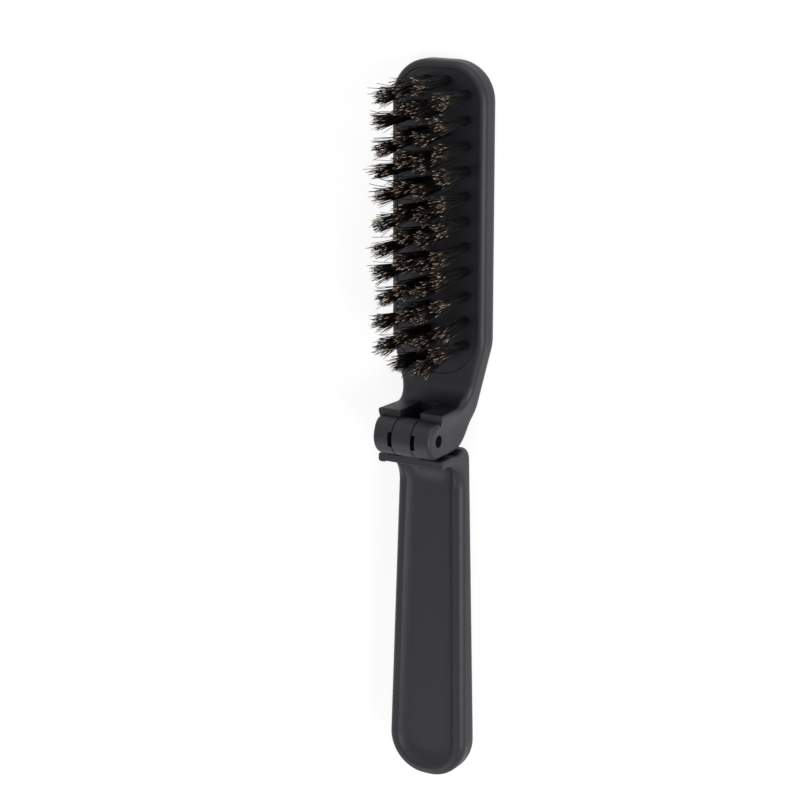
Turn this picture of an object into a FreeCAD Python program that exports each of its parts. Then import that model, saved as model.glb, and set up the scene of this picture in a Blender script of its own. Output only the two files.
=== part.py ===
import FreeCAD, Part
import math
import os

from FreeCAD import Vector

# A folding pocket brush, lying open on the back of its head with the bristles up.
# Everything is drawn about the hinge axis (x across, y towards the head's tip, z towards
# the bristle tips) and moved at the end, so that the origin is under the middle of the brush.

# Head
HEAD_REACH = 97.15           # hinge axis to the head's tip
HEAD_WIDTH = 28.0
HEAD_BACK = 22.4            # how far the head's flat back lies behind the hinge axis
HEAD_THICKNESS = 8.6        # back to front rim
HEAD_CORNER = 10.5          # plan radius at the tip's corners
HEAD_BACK_ROUND = 4.2       # rounding of the back edge
HEAD_FRONT_ROUND = 1.7      # rounding of the front edge
RIM_WIDTH = 2.0             # rim round the bristle plate

# Neck, which narrows from the head to the hinge
NECK_SHOULDER = 22.75        # where the head starts to narrow
NECK_FOOT = 1.95             # where the narrowing ends
NECK_SHOULDER_ROUND = 14.0
NECK_FOOT_ROUND = 8.0
NECK_EDGE_ROUND = 0.8       # front edges of the neck at its ledge
NECK_WALL_FACE = 6.9        # inner face of the neck's end wall
NECK_INNER_ROUND = 5.5      # concave corner between the wall and the head's front
NECK_HEEL_ROUND = 14.0      # big rounding from the end wall to the back

# Hinge
BARREL_RADIUS = 5.1
BARREL_HALF = 8.6           # half the length of the barrel
BARREL_EDGE_ROUND = 1.1
CENTRE_HALF = 2.75          # half the width of the handle's centre knuckle
PIN_RADIUS = 1.65
PIN_RECESS = 1.6            # pin ends lie this far inside the knuckles
PIN_CHAMFER = 0.3
SIDE_CLEARANCE = 0.3        # centre knuckle to each outer knuckle
RUNNING_CLEARANCE = 0.05    # pin in the centre knuckle
PRESS_CLEARANCE = 0.01      # pin in the outer knuckles
BARREL_CLEARANCE = 0.45     # round the barrel
STOP_GAP = 0.2              # left between the faces that stop the fold, open and shut
SLOT_DEPTH = 10.4            # slot behind the centre knuckle, below the hinge axis
NOTCH_WIDTH = 1.0           # detent notches in the outer knuckles' inner faces
NOTCH_HEIGHT = 4.0
NOTCH_WALL = 0.5            # left between the notches and the pin
DETENT_RIB_HEIGHT = 0.2     # ribs on the centre knuckle's sides
DETENT_RIB_WIDTH = 1.0

# Bristle plate and tufts
PLATE_THICKNESS = 4.4
PLATE_SINK = 0.15            # plate front below the rim
PLATE_CLEARANCE = 0.06       # plate edge to the rim
PLATE_LOWER_END = 14.35      # lower end of the plate, from the hinge axis
PLATE_LOWER_FLAT = 0.6      # half of the straight stretch at the lower end
PLATE_EDGE_ROUND = 0.15
TUFT_PITCH = 6.6
TUFT_TOP_MARGIN = 8.3       # head's tip to the top row of the outer columns
TUFT_BOTTOM_MARGIN = 4.5    # least distance from the plate's lower end to the lowest row
TUFT_SIDE_MARGIN = 5.4      # head's side to the outer columns
TUFT_LENGTH = 15.7          # free length above the plate
TUFT_ROOT_RADIUS = 1.15
TUFT_TIP_RADIUS = 2.0
TUFT_CROWN = 0.7            # height of the domed tip
TUFT_HOLE_DEPTH = 3.2
TUFT_CLEARANCE = 0.02
ANCHOR_LENGTH = 2.9
ANCHOR_HEIGHT = 1.2
ANCHOR_THICKNESS = 0.35
ANCHOR_LIFT = 0.6           # bristles pass under the anchor

# Handle
HANDLE_REACH = 98.75        # hinge axis to the free end
HANDLE_HINGE_WIDTH = 19.5
HANDLE_END_WIDTH = 23.8
HANDLE_END_ROUND = 10.8
HANDLE_BACK = 17.1          # flat back behind the hinge axis
HANDLE_BACK_ROUND = 3.6
HANDLE_RIM_ROUND = 2.2      # outer edge of the rim
HANDLE_EDGE_ROUND = 0.7     # other outer edges
HANDLE_RIM_AT_HINGE = 10.3   # rim behind the hinge axis, at the hinge end
HANDLE_RIM_AT_END = 8.1     # and at the free end
HANDLE_WALL = 1.2           # side walls beside the ledge
HANDLE_RIM_SWEEP = 8.0      # concave rise of the side rims to the ledge
LEDGE_THICKNESS = 2.1       # end wall, seen from the front as a ledge
LEDGE_DISH = 0.3            # the end wall is this much thinner between the side rims
TROUGH_DEPTH = 1.9
TROUGH_SWEEP = 8.0          # concave rise of the trough to the end wall
TROUGH_FLOOR_ROUND = 6.0    # soft rise of the floor to the side rims
TROUGH_CORNER_ROUND = 1.5   # upright corners beside the end wall
TROUGH_RIM_ROUND = 1.0
LEDGE_ROUND = 0.25          # front edge of the ledge
SEAM_DEPTH = 13.0           # seam between tray and cover, behind the hinge axis
SEAM_GROOVE = 0.25
COVER_WALL = 1.6
COVER_FLOOR = 1.5
COVER_CLEARANCE = 0.1       # tray plug inside the cover
HEEL_DEPTH = 11.5           # heel's tip behind the hinge axis
HEEL_ROUND = 4.0
HEEL_TIP_ROUND = 1.2
WAIST_DEPTH = 8.2           # hollow between barrel and heel
WAIST_SINK = 0.4
WAIST_ROUND = 1.2

BIG = 60.0                  # reach of cutting slabs past the object
NEAR = 0.01                 # closer than this counts as touching

# Levels and places that several pieces share
HEAD_FRONT = HEAD_THICKNESS - HEAD_BACK
PLATE_FRONT = HEAD_FRONT - PLATE_SINK
PLATE_SEAT = PLATE_FRONT - PLATE_THICKNESS
TUFT_OUTER_X = HEAD_WIDTH / 2 - TUFT_SIDE_MARGIN
TUFT_INNER_X = TUFT_OUTER_X / 3
LEDGE_LEVEL = -STOP_GAP / 2
SLOT_HALF = CENTRE_HALF + SIDE_CLEARANCE
SLOT_RADIUS = BARREL_RADIUS + BARREL_CLEARANCE
HANDLE_WALL_FACE = -BARREL_RADIUS - BARREL_CLEARANCE
TROUGH_START = HANDLE_WALL_FACE - LEDGE_THICKNESS
HEEL_CENTRE_Y = NECK_HEEL_ROUND - BARREL_RADIUS
HEEL_CENTRE_Z = NECK_HEEL_ROUND - HEAD_BACK
HEEL_DROP = HEEL_CENTRE_Z + HEEL_DEPTH
HEEL_FACE = HEEL_CENTRE_Y - math.sqrt(NECK_HEEL_ROUND ** 2 - HEEL_DROP ** 2) - STOP_GAP
COVER_INNER_FLOOR = COVER_FLOOR - HANDLE_BACK
COVER_INNER_END = HEEL_FACE - HEEL_ROUND - COVER_WALL
TO_ORIGIN = Vector(0, (HANDLE_REACH - HEAD_REACH) / 2, HEAD_BACK)


def on_plan(u, v):
    return Vector(u, v, 0)


def on_side(u, v):
    return Vector(0, u, v)


def rounded_face(corners, place):
    """Face through corners (u, v, radius), with a tangent arc at each corner that has a radius."""
    starts = []
    middles = []
    ends = []
    count = len(corners)
    for index, (u, v, radius) in enumerate(corners):
        corner = place(u, v)
        before = place(*corners[index - 1][:2]) - corner
        after = place(*corners[(index + 1) % count][:2]) - corner
        before.normalize()
        after.normalize()
        half_angle = before.getAngle(after) / 2
        run = radius / math.tan(half_angle)
        bisector = before + after
        bisector.normalize()
        starts.append(corner + before * run)
        middles.append(corner + bisector * (radius / math.sin(half_angle) - radius))
        ends.append(corner + after * run)
    edges = []
    for index in range(count):
        if corners[index][2] > 0:
            edges.append(Part.Arc(starts[index], middles[index], ends[index]).toShape())
        following = starts[(index + 1) % count]
        if ends[index].distanceToPoint(following) > 1e-6:
            edges.append(Part.LineSegment(ends[index], following).toShape())
    return Part.Face(Part.Wire(edges))


def both_sides(right_corners):
    """Right-hand corners followed by their mirror images, as one closed loop."""
    return right_corners + [(-u, v, radius) for u, v, radius in reversed(right_corners)]


def plan_slab(face, bottom, top):
    slab = face.extrude(Vector(0, 0, top - bottom))
    slab.translate(Vector(0, 0, bottom))
    return slab


def side_slab(face, half_width):
    slab = face.extrude(Vector(2 * half_width, 0, 0))
    slab.translate(Vector(-half_width, 0, 0))
    return slab


def box(x_range, y_range, z_range):
    low = Vector(x_range[0], y_range[0], z_range[0])
    high = Vector(x_range[1], y_range[1], z_range[1])
    size = high - low
    return Part.makeBox(size.x, size.y, size.z, low)


def rod(radius, x_from, x_to):
    """Cylinder along the hinge axis."""
    return Part.makeCylinder(radius, x_to - x_from, Vector(x_from, 0, 0), Vector(1, 0, 0))


def one_solid(shape):
    assert len(shape.Solids) == 1, len(shape.Solids)
    return shape.Solids[0].removeSplitter().Solids[0]


def middle_of(edge):
    return edge.valueAt((edge.FirstParameter + edge.LastParameter) / 2)


def is_sharp(shape, edge):
    """Whether the two faces at an edge meet at a clear angle."""
    point = middle_of(edge)
    normals = []
    for face in shape.ancestorsOfType(edge, Part.Face):
        normals.append(face.normalAt(*face.Surface.parameter(point)))
    return len(normals) == 2 and normals[0].getAngle(normals[1]) > math.radians(15)


def round_both_sides(shape, is_chosen, radius_at):
    """Rounds the chosen sharp edges of a symmetric shape, each from its radius at one end to that at
    the other. The right half is rounded and mirrored, so that both sides are alike."""
    right = one_solid(shape.common(box((0, BIG), (-2 * HANDLE_REACH, 2 * HEAD_REACH), (-BIG, BIG))))
    document = FreeCAD.newDocument()
    base = document.addObject("Part::Feature", "base")
    base.Shape = right
    rows = []
    for number, edge in enumerate(base.Shape.Edges, 1):
        middle = middle_of(edge)
        if middle.x > NEAR and is_sharp(base.Shape, edge) and is_chosen(middle):
            ends = [vertex.Point for vertex in edge.Vertexes]
            rows.append((number, radius_at(ends[0]), radius_at(ends[-1])))
    fillet = document.addObject("Part::Fillet", "fillet")
    fillet.Base = base
    fillet.Edges = rows
    document.recompute()
    rounded = one_solid(fillet.Shape)
    FreeCAD.closeDocument(document.Name)
    return one_solid(rounded.fuse(rounded.mirror(Vector(0, 0, 0), Vector(1, 0, 0))))


def easing(value, low, high):
    """How far a value lies from low to high, kept between 0 and 1."""
    return max(0.0, min(1.0, (value - low) / (high - low)))


# Head shell
def head_plan():
    half = HEAD_WIDTH / 2
    right = [
        (BARREL_HALF, -BARREL_RADIUS, 0),
        (BARREL_HALF, NECK_FOOT, NECK_FOOT_ROUND),
        (half, NECK_SHOULDER, NECK_SHOULDER_ROUND),
        (half, HEAD_REACH, HEAD_CORNER),
    ]
    return rounded_face(both_sides(right), on_plan)


def head_side(wall_face, inner_round):
    """Side view of the head and neck, with the barrel as the round top of the neck."""
    corners = [
        (BARREL_RADIUS, LEDGE_LEVEL, 0),
        (BARREL_RADIUS, BARREL_RADIUS, BARREL_RADIUS),
        (-BARREL_RADIUS, BARREL_RADIUS, BARREL_RADIUS),
        (-BARREL_RADIUS, -HEAD_BACK, NECK_HEEL_ROUND),
        (HEAD_REACH, -HEAD_BACK, 0),
        (HEAD_REACH, HEAD_FRONT, 0),
        (wall_face, HEAD_FRONT, inner_round),
        (wall_face, LEDGE_LEVEL, 0),
    ]
    return rounded_face(corners, on_side)


def on_head_edge(point):
    """Outer edges of the head, but not those of the ledge beside the barrel."""
    return abs(point.z - LEDGE_LEVEL) > NEAR


def head_edge_radius(point):
    if point.y > NECK_WALL_FACE - NEAR and point.z > HEAD_FRONT - NEAR:
        depth = easing(point.z, LEDGE_LEVEL, HEAD_FRONT)
        return NECK_EDGE_ROUND + (HEAD_FRONT_ROUND - NECK_EDGE_ROUND) * depth
    depth = easing(point.z, HEEL_CENTRE_Z, -HEAD_BACK)
    return BARREL_EDGE_ROUND + (HEAD_BACK_ROUND - BARREL_EDGE_ROUND) * depth


def plate_outline(clearance):
    half = HEAD_WIDTH / 2 - RIM_WIDTH + clearance
    right = [
        (half, PLATE_LOWER_END - clearance, half - PLATE_LOWER_FLAT),
        (half, HEAD_REACH - RIM_WIDTH + clearance, HEAD_CORNER - RIM_WIDTH + clearance),
    ]
    return rounded_face(both_sides(right), on_plan)


def detent_notches():
    near = PIN_RADIUS + NOTCH_WALL
    half = NOTCH_HEIGHT / 2
    notches = []
    for side in (-1, 1):
        across = sorted((side * SLOT_HALF, side * (SLOT_HALF + NOTCH_WIDTH)))
        notches.append(box(across, (-half, half), (near, SLOT_RADIUS)))
        notches.append(box(across, (-half, half), (-SLOT_RADIUS, -near)))
    return notches


def head_shell():
    body = plan_slab(head_plan(), -HEAD_BACK, BARREL_RADIUS).common(
        side_slab(head_side(NECK_WALL_FACE, NECK_INNER_ROUND), BIG))
    body = round_both_sides(one_solid(body), on_head_edge, head_edge_radius)
    slot = rod(SLOT_RADIUS, -SLOT_HALF, SLOT_HALF)
    across = (-SLOT_HALF, SLOT_HALF)
    web_room = box(across, (-BIG, 0), (-SLOT_RADIUS, BIG))
    wall_room = box(across, (0, NECK_WALL_FACE + NECK_INNER_ROUND), (-SLOT_DEPTH, BIG))
    pocket = plan_slab(plate_outline(PLATE_CLEARANCE), PLATE_SEAT, BIG)
    bore = rod(PIN_RADIUS + PRESS_CLEARANCE, -BIG, BIG)
    return one_solid(body.cut([slot, web_room, wall_room, pocket, bore] + detent_notches()))


# Bristle plate, tufts and their anchors
def tuft_places():
    """Names and places of the tufts, column by column from left to right. The inner columns stand half
    a pitch higher than the outer ones, and each column runs down as far as the plate has room."""
    outer_top = HEAD_REACH - TUFT_TOP_MARGIN
    inner_top = outer_top + TUFT_PITCH / 2
    inner_rows = 1 + int((inner_top - PLATE_LOWER_END - TUFT_BOTTOM_MARGIN) / TUFT_PITCH)
    columns = [
        ("left_outer", -TUFT_OUTER_X, outer_top, inner_rows - 1),
        ("left_inner", -TUFT_INNER_X, inner_top, inner_rows),
        ("right_inner", TUFT_INNER_X, inner_top, inner_rows),
        ("right_outer", TUFT_OUTER_X, outer_top, inner_rows - 1),
    ]
    places = {}
    for column, x, top, rows in columns:
        for row in range(rows):
            places[f"tuft_{column}_{row + 1:02d}"] = Vector(x, top - row * TUFT_PITCH, PLATE_FRONT)
    return places


def moved(shape, place):
    copy = shape.copy()
    copy.translate(place)
    return copy


def anchor():
    bottom = ANCHOR_LIFT - TUFT_HOLE_DEPTH
    half_length = ANCHOR_LENGTH / 2
    half_thickness = ANCHOR_THICKNESS / 2
    return box((-half_length, half_length), (-half_thickness, half_thickness), (bottom, bottom + ANCHOR_HEIGHT))


def tuft():
    """A bundle that flares from its hole to a domed tip, folded round its anchor."""
    root = TUFT_ROOT_RADIUS - TUFT_CLEARANCE
    shoulder = TUFT_LENGTH - TUFT_CROWN
    foot = on_tuft(0, -TUFT_HOLE_DEPTH)
    edge = on_tuft(root, -TUFT_HOLE_DEPTH)
    mouth = on_tuft(root, 0)
    brim = on_tuft(TUFT_TIP_RADIUS, shoulder)
    top = on_tuft(0, TUFT_LENGTH)
    dome_radius = (TUFT_TIP_RADIUS ** 2 + TUFT_CROWN ** 2) / (2 * TUFT_CROWN)
    half_turn = math.asin(TUFT_TIP_RADIUS / dome_radius) / 2
    on_dome = on_tuft(dome_radius * math.sin(half_turn),
                      TUFT_LENGTH - dome_radius * (1 - math.cos(half_turn)))
    edges = [
        Part.LineSegment(foot, edge).toShape(),
        Part.LineSegment(edge, mouth).toShape(),
        Part.LineSegment(mouth, brim).toShape(),
        Part.Arc(brim, on_dome, top).toShape(),
        Part.LineSegment(top, foot).toShape(),
    ]
    bundle = Part.Face(Part.Wire(edges)).revolve(Vector(0, 0, 0), Vector(0, 0, 1), 360)
    return one_solid(bundle.cut(anchor()))


def on_tuft(radius, height):
    return Vector(radius, 0, height)


def bristle_plate(places):
    plate = plan_slab(plate_outline(0), PLATE_SEAT, PLATE_FRONT)
    brim = [edge for edge in plate.Edges if edge.BoundBox.ZMin > PLATE_FRONT - NEAR]
    plate = plate.makeFillet(PLATE_EDGE_ROUND, brim)
    hole = Part.makeCylinder(TUFT_ROOT_RADIUS, TUFT_HOLE_DEPTH, Vector(0, 0, -TUFT_HOLE_DEPTH))
    seat = hole.fuse(anchor())
    return one_solid(plate.cut([moved(seat, place) for place in places]))


# Hinge pin
def hinge_pin():
    half = BARREL_HALF - PIN_RECESS
    pin = rod(PIN_RADIUS, -half, half)
    rims = [edge for edge in pin.Edges if isinstance(edge.Curve, Part.Circle)]
    return one_solid(pin.makeChamfer(PIN_CHAMFER, rims))


# Handle
def handle_plan(inset, hinge_end):
    end_half = HANDLE_END_WIDTH / 2 - inset
    end_round = min(HANDLE_END_ROUND - inset, end_half - 0.1)
    right = [
        (HANDLE_HINGE_WIDTH / 2 - inset, hinge_end, 0),
        (end_half, inset - HANDLE_REACH, end_round),
    ]
    return rounded_face(both_sides(right), on_plan)


def handle_side():
    corners = [
        (HANDLE_WALL_FACE, LEDGE_LEVEL, 0),
        (TROUGH_START - LEDGE_DISH, LEDGE_LEVEL, 0),
        (TROUGH_START - LEDGE_DISH, -HANDLE_RIM_AT_HINGE, HANDLE_RIM_SWEEP),
        (-HANDLE_REACH, -HANDLE_RIM_AT_END, 0),
        (-HANDLE_REACH, -HANDLE_BACK, 0),
        (HEEL_FACE, -HANDLE_BACK, HEEL_ROUND),
        (HEEL_FACE, -HEEL_DEPTH, HEEL_TIP_ROUND),
        (HANDLE_WALL_FACE - WAIST_SINK, -WAIST_DEPTH, WAIST_ROUND),
        (HANDLE_WALL_FACE, -BARREL_RADIUS, WAIST_ROUND),
    ]
    return rounded_face(corners, on_side)


def on_handle_edge(point):
    """Outer edges of the handle, but not the long edges of the ledge."""
    return point.z < LEDGE_LEVEL - NEAR


def handle_edge_radius(point):
    if point.y < TROUGH_START - NEAR and point.z > -HEEL_DEPTH:
        depth = easing(point.z, LEDGE_LEVEL, -HANDLE_RIM_AT_END)
        return HANDLE_EDGE_ROUND + (HANDLE_RIM_ROUND - HANDLE_EDGE_ROUND) * depth
    depth = easing(point.z, -HEEL_DEPTH, -HANDLE_BACK)
    return HANDLE_EDGE_ROUND + (HANDLE_BACK_ROUND - HANDLE_EDGE_ROUND) * depth


def handle_body():
    body = plan_slab(handle_plan(0, HEEL_FACE), -HANDLE_BACK, LEDGE_LEVEL).common(side_slab(handle_side(), BIG))
    return round_both_sides(one_solid(body), on_handle_edge, handle_edge_radius)


def trough():
    corners = [
        (TROUGH_START, BIG, 0),
        (TROUGH_START, -HANDLE_RIM_AT_HINGE - TROUGH_DEPTH, TROUGH_SWEEP),
        (-HANDLE_REACH, -HANDLE_RIM_AT_END - TROUGH_DEPTH, 0),
        (-HANDLE_REACH, BIG, 0),
    ]
    hollow = plan_slab(handle_plan(HANDLE_WALL, TROUGH_START), -HANDLE_BACK, 0)
    hollow = hollow.common(side_slab(rounded_face(corners, on_side), BIG))
    return round_both_sides(one_solid(hollow), on_trough_floor, trough_round)


def on_trough_floor(point):
    """Edges along the sides and the end of the trough's floor."""
    return point.z < -HANDLE_RIM_AT_END and point.y < TROUGH_START - NEAR


def trough_round(point):
    """Grows from the corners of the end wall, down its sweep, to the soft round along the floor."""
    run = easing(point.y, TROUGH_START, TROUGH_START - TROUGH_SWEEP)
    return TROUGH_CORNER_ROUND + (TROUGH_FLOOR_ROUND - TROUGH_CORNER_ROUND) * run


def below_seam(inset, hinge_end, bottom):
    return plan_slab(handle_plan(inset, hinge_end), bottom, -SEAM_DEPTH)


def handle_tray(body):
    upper = body.common(box((-BIG, BIG), (-2 * HANDLE_REACH, BIG), (-SEAM_DEPTH, BIG)))
    plug = below_seam(COVER_WALL + COVER_CLEARANCE, COVER_INNER_END - COVER_CLEARANCE, COVER_INNER_FLOOR)
    across = (-CENTRE_HALF, CENTRE_HALF)
    web = box(across, (HANDLE_WALL_FACE - LEDGE_THICKNESS / 2, 0), (-BARREL_RADIUS, LEDGE_LEVEL))
    knuckle = rod(BARREL_RADIUS, *across)
    upper = round_both_sides(one_solid(upper.cut(trough())), on_trough_brim, brim_round)
    tray = upper.fuse([plug.cut(trough()), web, knuckle] + detent_ribs())
    return one_solid(tray.cut(rod(PIN_RADIUS + RUNNING_CLEARANCE, -BIG, BIG)))


def brim_round(point):
    """Grows from the ledge, down the sweep of the side rims, to the round along them."""
    start = TROUGH_START - LEDGE_DISH
    run = easing(point.y, start, start - HANDLE_RIM_SWEEP)
    return LEDGE_ROUND + (TROUGH_RIM_ROUND - LEDGE_ROUND) * run


def on_trough_brim(point):
    """Edges where the trough meets the rims and the ledge."""
    return point.z > -HANDLE_RIM_AT_HINGE - TROUGH_DEPTH / 2 and point.y < HANDLE_WALL_FACE - NEAR


def detent_ribs():
    half = DETENT_RIB_WIDTH / 2
    far = CENTRE_HALF + DETENT_RIB_HEIGHT
    depth = (-BARREL_RADIUS + NOTCH_WALL, -PIN_RADIUS - 2 * NOTCH_WALL)
    return [box((-far, far), (-half, half), depth)]


def handle_cover(body):
    lower = body.common(box((-BIG, BIG), (-2 * HANDLE_REACH, BIG), (-BIG, -SEAM_DEPTH)))
    brim = [edge for edge in lower.Edges if edge.BoundBox.ZMin > -SEAM_DEPTH - NEAR]
    lower = lower.makeChamfer(SEAM_GROOVE, brim)
    return one_solid(lower.cut(below_seam(COVER_WALL, COVER_INNER_END, COVER_INNER_FLOOR)))


def write(name, shape):
    shape.translate(TO_ORIGIN)
    shape.exportStep(f"parts/{name}.step")


def main():
    os.makedirs("parts", exist_ok=True)
    places = tuft_places()
    body = handle_body()
    write("head_shell", head_shell())
    write("bristle_plate", bristle_plate(places.values()))
    write("hinge_pin", hinge_pin())
    write("handle_tray", handle_tray(body))
    write("handle_cover", handle_cover(body))
    write("tuft_anchors", Part.makeCompound([moved(anchor(), place) for place in places.values()]))
    bundle = tuft()
    for name, place in places.items():
        write(name, moved(bundle, place))


if __name__ == "__main__":
    main()
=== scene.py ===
import math
import random

import bpy
from mathutils import Matrix, Quaternion, Vector


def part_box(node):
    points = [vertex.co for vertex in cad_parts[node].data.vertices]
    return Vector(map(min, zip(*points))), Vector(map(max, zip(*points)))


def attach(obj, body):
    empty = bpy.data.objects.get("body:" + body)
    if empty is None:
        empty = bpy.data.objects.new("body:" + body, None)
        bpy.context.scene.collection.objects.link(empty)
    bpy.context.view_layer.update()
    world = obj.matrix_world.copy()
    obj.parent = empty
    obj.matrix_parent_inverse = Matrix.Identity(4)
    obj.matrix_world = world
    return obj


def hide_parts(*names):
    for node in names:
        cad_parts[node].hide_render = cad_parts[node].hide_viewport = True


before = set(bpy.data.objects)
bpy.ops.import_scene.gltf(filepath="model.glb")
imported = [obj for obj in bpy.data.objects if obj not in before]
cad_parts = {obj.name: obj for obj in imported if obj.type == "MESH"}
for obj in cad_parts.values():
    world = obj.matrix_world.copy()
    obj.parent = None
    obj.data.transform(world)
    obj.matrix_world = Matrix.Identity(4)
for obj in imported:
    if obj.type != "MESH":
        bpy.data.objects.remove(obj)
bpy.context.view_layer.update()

# Looks of the folding pocket brush: satin charcoal shells, natural bristle tufts, a darkened pin.
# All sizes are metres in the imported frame, with the bristles pointing up.
MM = 0.001

# Camera that shows the opened brush as the photograph does
CAMERA_PLACE = Vector((301.8, 170.9, 544.9)) * MM
CAMERA_AIM = Vector((-7.4, 8.2, 15.0)) * MM
CAMERA_ROLL = math.radians(-113.7)
CAMERA_LENS = 107.65
CAMERA_SENSOR = 36
CAMERA_NEAREST = 10 * MM

# Single bristles
BRISTLE_SIDES = 5
BRISTLE_CUTS = 5
BRISTLE_ROOT = 0.10 * MM           # radius in the hole
BRISTLE_TIP = 0.07 * MM            # radius at the tip
BRISTLE_CURVES = (0, 2, 4, 7, 11)  # degrees that each kind of bristle bends over its length
BRISTLE_CREASE = math.radians(80)  # only sharper edges than this stay hard
LENGTH_SHORTEST = 0.93             # share of the full length
LENGTH_LONGEST = 1.02

# Tufts
BRISTLES_PER_TUFT = 112
TUFT_DESIGNS = 9
ROOT_SPREAD = 1.05 * MM            # the roots fill a disc of this radius
FLARE = math.radians(3.0)          # outward lean of a tuft's outermost bristles
LEAN_JITTER = math.radians(1.1)
BEARING_JITTER = 0.5               # radians that a bristle's lean turns from straight outwards
STRAY_SHARE = 0.06                 # bristles that stand out from their bundle
STRAY_LEAN = math.radians(8)
TUFT_TILT = math.radians(1.5)      # whole tufts lean by about this much
SEED = 46

# Texture sizes, as repeats in a metre
CLOUD_SCALE = 95.0
STREAK_SCALE = 1500.0
GRAIN_SCALE = 5200.0
DUST_SCALE = 210.0
METAL_LINE_SCALE = 9000.0
BRISTLE_SCALE = 4200.0
STREAK_STRETCH = (1.0, 0.035, 1.0)      # streaks run along the brush
METAL_LINE_STRETCH = (1.0, 0.05, 0.05)  # lines run round the hinge axis
GRAIN_DEPTH = 0.02 * MM
BRISTLE_SCALE_DEPTH = 0.01 * MM

# Texture values between which an effect sets in
CLOUDED = (0.35, 0.7)
RUBBED = (0.52, 0.72)
SPECK_EDGE = (0.045, 0.02)         # from the rim of a speck of dust to its middle
SPECK_CHOSEN = (0.93, 0.95)        # only the few cells above this hold a speck
GLOSS_CHANGE = (0.3, 0.7)
BROWN_ZONE = (0.82, 0.95)          # share of a bristle's length over which a brown tip sets in
BLOND_ZONE = (0.90, 0.97)          # and a blond one
BROWN_TONES = (0.4, 0.8)           # tones over which bristles turn to brown tips
BLOND_TONES = (0.70, 0.9)          # and to blond ones

# Gloss
PLASTIC_IOR = 1.49
PLASTIC_SPECULAR = 0.42
BRISTLE_SPECULAR = 0.18
BRISTLE_ROUGHNESS = (0.45, 0.6)
METAL_SMOOTH = 0.3
METAL_DULL = 0.5

# Colours, linear
CHARCOAL = (0.0043, 0.0037, 0.0087, 1)
CHARCOAL_WORN = (0.0075, 0.0069, 0.0120, 1)
DUST = (0.16, 0.16, 0.165, 1)
BRISTLE_BLACK = (0.0042, 0.0036, 0.0034, 1)
BRISTLE_BROWN = (0.115, 0.074, 0.056, 1)
BRISTLE_BLOND = (0.70, 0.56, 0.44, 1)
PIN_DARK = (0.022, 0.022, 0.024, 1)
PIN_BRIGHT = (0.10, 0.10, 0.105, 1)
BRASS_DEEP = (0.45, 0.29, 0.10, 1)
BRASS_PALE = (0.72, 0.52, 0.24, 1)
FLOOR_WHITE = (0.5, 0.5, 0.5, 1)
PURE_WHITE = (1, 1, 1, 1)

# Studio
FLOOR_SIZE = 6
FLOOR_DROP = 0.02 * MM             # keeps the floor off the flat back of the head that lies on it
FLOOR_GLOW = 0.76                  # what the white floor shows beyond the light that falls on it
WORLD_LIGHT = 0.27
LAMP_AIM = Vector((0, 0, 10)) * MM

# Kinds of node group sockets
COLOUR = "NodeSocketColor"
NUMBER = "NodeSocketFloat"


# Small helpers for modelling and for node trees
def deselect_all():
    for item in bpy.context.selected_objects:
        item.select_set(False)


def make_active(item):
    deselect_all()
    item.select_set(True)
    bpy.context.view_layer.objects.active = item


def add_node(tree, kind, place, **settings):
    node = tree.nodes.new(kind)
    node.location = place
    for name, value in settings.items():
        setattr(node, name, value)
    return node


def feed(tree, socket, value):
    """Links an input to another node's output, or gives it a plain value."""
    if isinstance(value, bpy.types.NodeSocket):
        tree.links.new(value, socket)
    else:
        socket.default_value = value


def set_inputs(node, **values):
    for name, value in values.items():
        node.inputs[name.replace("_", " ")].default_value = value


def mix_colours(tree, place, factor, first, second):
    node = add_node(tree, "ShaderNodeMix", place, data_type="RGBA")
    for number, value in zip((0, 6, 7), (factor, first, second)):
        feed(tree, node.inputs[number], value)
    return node.outputs[2]


def map_range(tree, place, value, low, high, to_low=0.0, to_high=1.0):
    node = add_node(tree, "ShaderNodeMapRange", place, interpolation_type="SMOOTHSTEP")
    names = ("Value", "From Min", "From Max", "To Min", "To Max")
    for name, given in zip(names, (value, low, high, to_low, to_high)):
        feed(tree, node.inputs[name], given)
    return node.outputs["Result"]


def multiply(tree, place, first, second):
    node = add_node(tree, "ShaderNodeMath", place, operation="MULTIPLY")
    feed(tree, node.inputs[0], first)
    feed(tree, node.inputs[1], second)
    return node.outputs[0]


def object_place(tree, place):
    return add_node(tree, "ShaderNodeTexCoord", place).outputs["Object"]


def stretched(tree, place, vector, scale):
    node = add_node(tree, "ShaderNodeMapping", place)
    node.inputs["Scale"].default_value = scale
    tree.links.new(vector, node.inputs["Vector"])
    return node.outputs["Vector"]


def noise(tree, place, vector, scale, detail, roughness):
    node = add_node(tree, "ShaderNodeTexNoise", place)
    set_inputs(node, Scale=scale, Detail=detail, Roughness=roughness)
    tree.links.new(vector, node.inputs["Vector"])
    return node.outputs["Fac"]


def new_group(name, inputs, outputs):
    """Empty node group with its inner sockets. Inputs and outputs are given by name and kind."""
    group = bpy.data.node_groups.new(name, "ShaderNodeTree")
    for way, sockets in (("INPUT", inputs), ("OUTPUT", outputs)):
        for socket, kind in sockets:
            group.interface.new_socket(name=socket, in_out=way, socket_type=kind)
    given = add_node(group, "NodeGroupInput", (-1200, 0)).outputs
    result = add_node(group, "NodeGroupOutput", (900, 0)).inputs
    return group, given, result


def new_material(name):
    material = bpy.data.materials.new(name)
    material.use_nodes = True
    tree = material.node_tree
    return material, tree, tree.nodes["Principled BSDF"]


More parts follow.
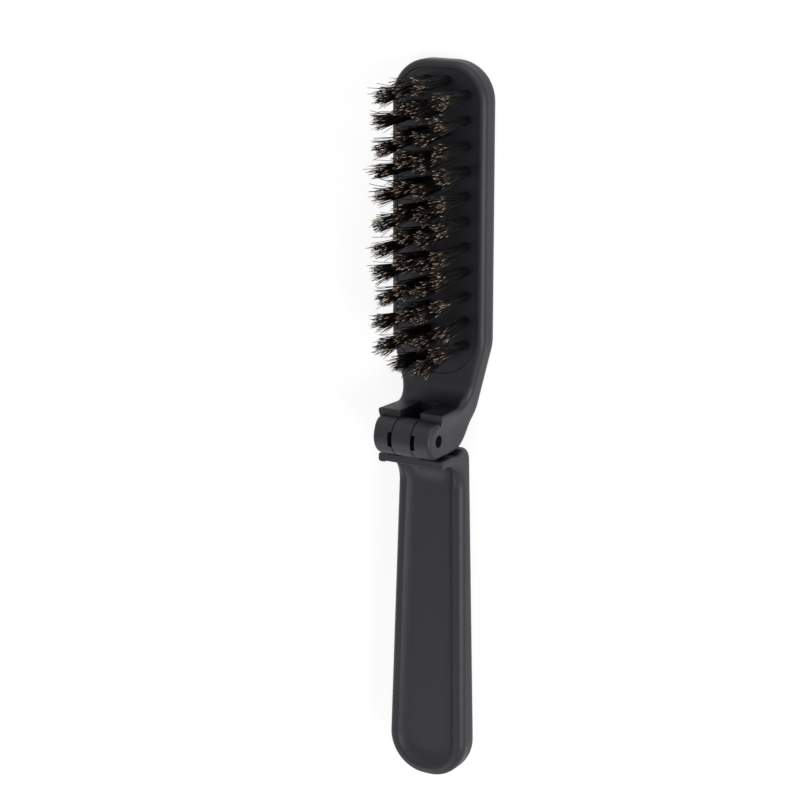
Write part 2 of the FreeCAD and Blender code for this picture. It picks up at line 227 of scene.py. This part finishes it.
# Moulded plastic
def moulded_skin_group():
    """Cloudy satin, rubbed streaks along the length, fine spark-eroded grain and a little stray dust."""
    group, given, result = new_group(
        "moulded_skin",
        (("Plain", COLOUR), ("Worn", COLOUR), ("Dust", COLOUR), ("Dust Amount", NUMBER),
         ("Smooth", NUMBER), ("Dull", NUMBER)),
        (("Colour", COLOUR), ("Roughness", NUMBER), ("Height", NUMBER)))
    place = object_place(group, (-1200, -400))

    cloud = noise(group, (-700, 300), place, CLOUD_SCALE, detail=4.0, roughness=0.55)
    along = stretched(group, (-950, -50), place, STREAK_STRETCH)
    streak = noise(group, (-700, 0), along, STREAK_SCALE, detail=3.0, roughness=0.6)
    cloudiness = map_range(group, (-450, 300), cloud, *CLOUDED)
    rubbing = map_range(group, (-450, 0), streak, *RUBBED)
    worn = multiply(group, (-200, 150), cloudiness, rubbing)

    cells = add_node(group, "ShaderNodeTexVoronoi", (-700, -600))
    set_inputs(cells, Scale=DUST_SCALE)
    group.links.new(place, cells.inputs["Vector"])
    speck = map_range(group, (-450, -600), cells.outputs["Distance"], *SPECK_EDGE)
    lot = add_node(group, "ShaderNodeSeparateColor", (-450, -800))
    group.links.new(cells.outputs["Color"], lot.inputs["Color"])
    chosen = map_range(group, (-200, -800), lot.outputs["Red"], *SPECK_CHOSEN)
    dust = multiply(group, (0, -600), speck, chosen)
    dust = multiply(group, (200, -600), dust, given["Dust Amount"])

    tint = mix_colours(group, (300, 250), worn, given["Plain"], given["Worn"])
    feed(group, result["Colour"], mix_colours(group, (550, 250), dust, tint, given["Dust"]))
    gloss = map_range(group, (300, 0), cloud, *GLOSS_CHANGE, given["Smooth"], given["Dull"])
    feed(group, result["Roughness"], gloss)
    grain = noise(group, (-700, -300), place, GRAIN_SCALE, detail=2.0, roughness=0.5)
    feed(group, result["Height"], grain)
    return group


def moulded_plastic(name, skin, dust, smooth, dull, grain):
    material, tree, shader = new_material(name)
    surface = add_node(tree, "ShaderNodeGroup", (-700, 0), node_tree=skin)
    set_inputs(surface, Plain=CHARCOAL, Worn=CHARCOAL_WORN, Dust=DUST)
    set_inputs(surface, Dust_Amount=dust, Smooth=smooth, Dull=dull)
    bump = add_node(tree, "ShaderNodeBump", (-350, -300))
    set_inputs(bump, Strength=grain, Distance=GRAIN_DEPTH)
    set_inputs(shader, IOR=PLASTIC_IOR, Specular_IOR_Level=PLASTIC_SPECULAR)
    tree.links.new(surface.outputs["Colour"], shader.inputs["Base Color"])
    tree.links.new(surface.outputs["Roughness"], shader.inputs["Roughness"])
    tree.links.new(surface.outputs["Height"], bump.inputs["Height"])
    tree.links.new(bump.outputs["Normal"], shader.inputs["Normal"])
    return material


# Metal
def turned_lines_group():
    """Fine lines round the hinge axis, as on turned or stamped metal."""
    group, given, result = new_group(
        "turned_lines",
        (("Deep", COLOUR), ("Bright", COLOUR), ("Smooth", NUMBER), ("Dull", NUMBER)),
        (("Colour", COLOUR), ("Roughness", NUMBER)))
    across = stretched(group, (-950, 0), object_place(group, (-1200, -300)), METAL_LINE_STRETCH)
    lines = noise(group, (-700, 0), across, METAL_LINE_SCALE, detail=3.0, roughness=0.6)
    feed(group, result["Colour"], mix_colours(group, (-350, 150), lines, given["Deep"], given["Bright"]))
    gloss = map_range(group, (-350, -100), lines, *GLOSS_CHANGE, given["Smooth"], given["Dull"])
    feed(group, result["Roughness"], gloss)
    return group


def turned_metal(name, lines, deep, bright):
    material, tree, shader = new_material(name)
    surface = add_node(tree, "ShaderNodeGroup", (-400, 0), node_tree=lines)
    set_inputs(surface, Deep=deep, Bright=bright, Smooth=METAL_SMOOTH, Dull=METAL_DULL)
    set_inputs(shader, Metallic=1.0)
    tree.links.new(surface.outputs["Colour"], shader.inputs["Base Color"])
    tree.links.new(surface.outputs["Roughness"], shader.inputs["Roughness"])
    return material


# Bristles and tufts
def natural_bristle():
    """Black shafts with brown and blond tips, set by each bristle's tone and the way along it."""
    material, tree, shader = new_material("natural_bristle")
    along = add_node(tree, "ShaderNodeAttribute", (-1200, 200), attribute_name="along").outputs["Fac"]
    tone = add_node(tree, "ShaderNodeAttribute", (-1200, -100), attribute_name="tone").outputs["Fac"]
    place = object_place(tree, (-1200, -400))
    scales = noise(tree, (-950, -400), place, BRISTLE_SCALE, detail=2.0, roughness=0.5)

    brown_part = map_range(tree, (-900, 50), along, *BROWN_ZONE)
    blond_part = map_range(tree, (-900, 250), along, *BLOND_ZONE)
    brown = multiply(tree, (-650, 50), brown_part, map_range(tree, (-900, -320), tone, *BROWN_TONES))
    blond = multiply(tree, (-650, 250), blond_part, map_range(tree, (-900, -150), tone, *BLOND_TONES))
    shade = mix_colours(tree, (-400, 100), brown, BRISTLE_BLACK, BRISTLE_BROWN)
    shade = mix_colours(tree, (-200, 150), blond, shade, BRISTLE_BLOND)
    gloss = map_range(tree, (-400, -250), scales, *GLOSS_CHANGE, *BRISTLE_ROUGHNESS)
    bump = add_node(tree, "ShaderNodeBump", (-400, -500))
    set_inputs(bump, Strength=0.25, Distance=BRISTLE_SCALE_DEPTH)
    set_inputs(shader, Specular_IOR_Level=BRISTLE_SPECULAR)
    tree.links.new(shade, shader.inputs["Base Color"])
    tree.links.new(gloss, shader.inputs["Roughness"])
    tree.links.new(scales, bump.inputs["Height"])
    tree.links.new(bump.outputs["Normal"], shader.inputs["Normal"])
    return material


def model_bristle(length, curve):
    """One tapered bristle that stands on the origin and bends to one side."""
    deselect_all()
    bpy.ops.mesh.primitive_cone_add(vertices=BRISTLE_SIDES, radius1=BRISTLE_ROOT, radius2=BRISTLE_TIP,
                                    depth=length, location=(0, 0, length / 2))
    bristle = bpy.context.object
    bpy.ops.object.transform_apply(location=True, rotation=False, scale=False)
    mesh = bristle.data
    bpy.ops.object.mode_set(mode="EDIT")
    bpy.ops.mesh.select_mode(type="EDGE")
    bpy.ops.mesh.select_all(action="DESELECT")
    bpy.ops.object.mode_set(mode="OBJECT")
    for edge in mesh.edges:
        low, high = (mesh.vertices[number].co.z for number in edge.vertices)
        edge.select = abs(high - low) > length / 2
    bpy.ops.object.mode_set(mode="EDIT")
    bpy.ops.mesh.subdivide(number_cuts=BRISTLE_CUTS)
    bpy.ops.object.mode_set(mode="OBJECT")
    along = mesh.attributes.new("along", "FLOAT", "POINT")
    along.data.foreach_set("value", [vertex.co.z / length for vertex in mesh.vertices])
    bend = bristle.modifiers.new("bend", "SIMPLE_DEFORM")
    bend.deform_method = "BEND"
    bend.deform_axis = "Y"
    bend.angle = math.radians(curve)
    bpy.ops.object.modifier_apply(modifier=bend.name)
    bpy.ops.object.shade_smooth_by_angle(angle=BRISTLE_CREASE)
    return bristle


def model_tuft(bristles, sink, material, draw):
    """A slightly flared bundle that stands on the origin, with its roots sunk below it."""
    golden_turn = math.pi * (3 - math.sqrt(5))
    pieces = []
    for number in range(BRISTLES_PER_TUFT):
        ring = math.sqrt((number + 0.5) / BRISTLES_PER_TUFT)
        bearing = number * golden_turn
        lean = FLARE * ring + LEAN_JITTER * draw.gauss(0, 1)
        if draw.random() < STRAY_SHARE:
            lean += STRAY_LEAN * draw.random()
        stretch = Matrix.Scale(draw.uniform(LENGTH_SHORTEST, LENGTH_LONGEST), 4, (0, 0, 1))
        spin = Matrix.Rotation(draw.uniform(0, 2 * math.pi), 4, "Z")
        tilt = Matrix.Rotation(lean, 4, "Y")
        turn = Matrix.Rotation(bearing + draw.gauss(0, BEARING_JITTER), 4, "Z")
        root = Vector((math.cos(bearing), math.sin(bearing), 0)) * ROOT_SPREAD * ring
        mesh = draw.choice(bristles).data.copy()
        mesh.transform(Matrix.Translation(root - Vector((0, 0, sink))) @ turn @ tilt @ spin @ stretch)
        tone = mesh.attributes.new("tone", "FLOAT", "POINT")
        tone.data.foreach_set("value", [draw.random()] * len(mesh.vertices))
        piece = bpy.data.objects.new("bristle", mesh)
        bpy.context.scene.collection.objects.link(piece)
        pieces.append(piece)
    make_active(pieces[0])
    for piece in pieces:
        piece.select_set(True)
    bpy.ops.object.join()
    tuft = bpy.context.object
    tuft.data.materials.append(material)
    return tuft


def plant_tufts(material):
    """A bundle of bristles in the place of each tuft, cut from a few designs and each turned its own way."""
    draw = random.Random(SEED)
    nodes = sorted(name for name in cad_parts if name.startswith("tuft_") and name != "tuft_anchors")
    plate_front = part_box("bristle_plate")[1].z
    low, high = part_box(nodes[0])
    sink = (plate_front - low.z) / 2
    bristles = [model_bristle(high.z - plate_front + sink, curve) for curve in BRISTLE_CURVES]
    designs = [model_tuft(bristles, sink, material, draw) for number in range(TUFT_DESIGNS)]
    for name in nodes:
        low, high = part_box(name)
        foot = Matrix.Translation(((low.x + high.x) / 2, (low.y + high.y) / 2, plate_front))
        tilt = Matrix.Rotation(TUFT_TILT * draw.gauss(0, 1), 4, "X")
        tilt = tilt @ Matrix.Rotation(TUFT_TILT * draw.gauss(0, 1), 4, "Y")
        mesh = draw.choice(designs).data.copy()
        mesh.transform(foot @ tilt @ Matrix.Rotation(draw.uniform(0, 2 * math.pi), 4, "Z"))
        tuft = bpy.data.objects.new(name.replace("tuft", "bristles"), mesh)
        bpy.context.scene.collection.objects.link(tuft)
        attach(tuft, "head")
        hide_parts(name)
    for pattern in designs + bristles:
        bpy.data.objects.remove(pattern)


# Finishes of the pieces whose solids stay
def dress(name, material):
    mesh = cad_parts[name].data
    mesh.materials.clear()
    mesh.materials.append(material)


def finish_solids():
    skin = moulded_skin_group()
    shell = moulded_plastic("satin_charcoal", skin, dust=0.6, smooth=0.45, dull=0.50, grain=0.35)
    plate = moulded_plastic("plate_charcoal", skin, dust=0.3, smooth=0.49, dull=0.54, grain=0.45)
    for name in ("head_shell", "handle_tray", "handle_cover"):
        dress(name, shell)
    dress("bristle_plate", plate)
    lines = turned_lines_group()
    dress("hinge_pin", turned_metal("darkened_steel", lines, PIN_DARK, PIN_BRIGHT))
    dress("tuft_anchors", turned_metal("stamped_brass", lines, BRASS_DEEP, BRASS_PALE))


# Floor, light and camera
def seen_directly(tree, place):
    """One for rays that see the surroundings, straight or mirrored, and nought for light on the brush."""
    path = add_node(tree, "ShaderNodeLightPath", place)
    seen = path.outputs["Is Camera Ray"]
    for step, name in enumerate(("Is Glossy Ray", "Is Transmission Ray"), 1):
        either = add_node(tree, "ShaderNodeMath", (place[0] + 180 * step, place[1]), operation="MAXIMUM")
        tree.links.new(seen, either.inputs[0])
        tree.links.new(path.outputs[name], either.inputs[1])
        seen = either.outputs[0]
    return seen


def lay_floor():
    deselect_all()
    bpy.ops.mesh.primitive_plane_add(size=FLOOR_SIZE, location=(0, 0, -FLOOR_DROP))
    floor = bpy.context.object
    floor.name = "studio_floor"
    material, tree, shader = new_material("studio_white")
    set_inputs(shader, Base_Color=FLOOR_WHITE, Roughness=0.9, Specular_IOR_Level=0.0)
    glow = add_node(tree, "ShaderNodeEmission", (0, 300))
    strength = multiply(tree, (-200, 300), seen_directly(tree, (-800, 300)), FLOOR_GLOW)
    tree.links.new(strength, glow.inputs["Strength"])
    both = add_node(tree, "ShaderNodeAddShader", (300, 200))
    tree.links.new(shader.outputs["BSDF"], both.inputs[0])
    tree.links.new(glow.outputs["Emission"], both.inputs[1])
    tree.links.new(both.outputs["Shader"], tree.nodes["Material Output"].inputs["Surface"])
    floor.data.materials.append(material)


def light_world():
    world = bpy.data.worlds.new("studio")
    bpy.context.scene.world = world
    world.use_nodes = True
    tree = world.node_tree
    background = tree.nodes["Background"]
    set_inputs(background, Color=PURE_WHITE)
    strength = map_range(tree, (-300, 0), seen_directly(tree, (-900, 0)), 0, 1, WORLD_LIGHT, 1.0)
    tree.links.new(strength, background.inputs["Strength"])


def add_softbox(name, place, size, power):
    deselect_all()
    bpy.ops.object.light_add(type="AREA", location=place)
    lamp = bpy.context.object
    lamp.name = name
    lamp.data.shape = "DISK"
    lamp.data.size = size
    lamp.data.energy = power
    lamp.rotation_mode = "QUATERNION"
    lamp.rotation_quaternion = (LAMP_AIM - Vector(place)).to_track_quat("-Z", "Y")


def set_up_camera():
    deselect_all()
    bpy.ops.object.camera_add(location=CAMERA_PLACE)
    camera = bpy.context.object
    camera.data.lens = CAMERA_LENS
    camera.data.sensor_width = CAMERA_SENSOR
    camera.data.clip_start = CAMERA_NEAREST
    camera.rotation_mode = "QUATERNION"
    upright = (CAMERA_AIM - CAMERA_PLACE).to_track_quat("-Z", "Y")
    camera.rotation_quaternion = upright @ Quaternion((0, 0, 1), CAMERA_ROLL)
    bpy.context.scene.camera = camera


finish_solids()
plant_tufts(natural_bristle())
lay_floor()
light_world()
add_softbox("softbox_right", place=(0.9, -0.1, 0.45), size=0.7, power=7)
add_softbox("softbox_below", place=(-0.3, -0.8, 0.6), size=0.7, power=2)
add_softbox("softbox_above", place=(0.25, 0.95, 0.3), size=0.9, power=4)
set_up_camera()
bpy.context.scene.view_settings.view_transform = "Standard"
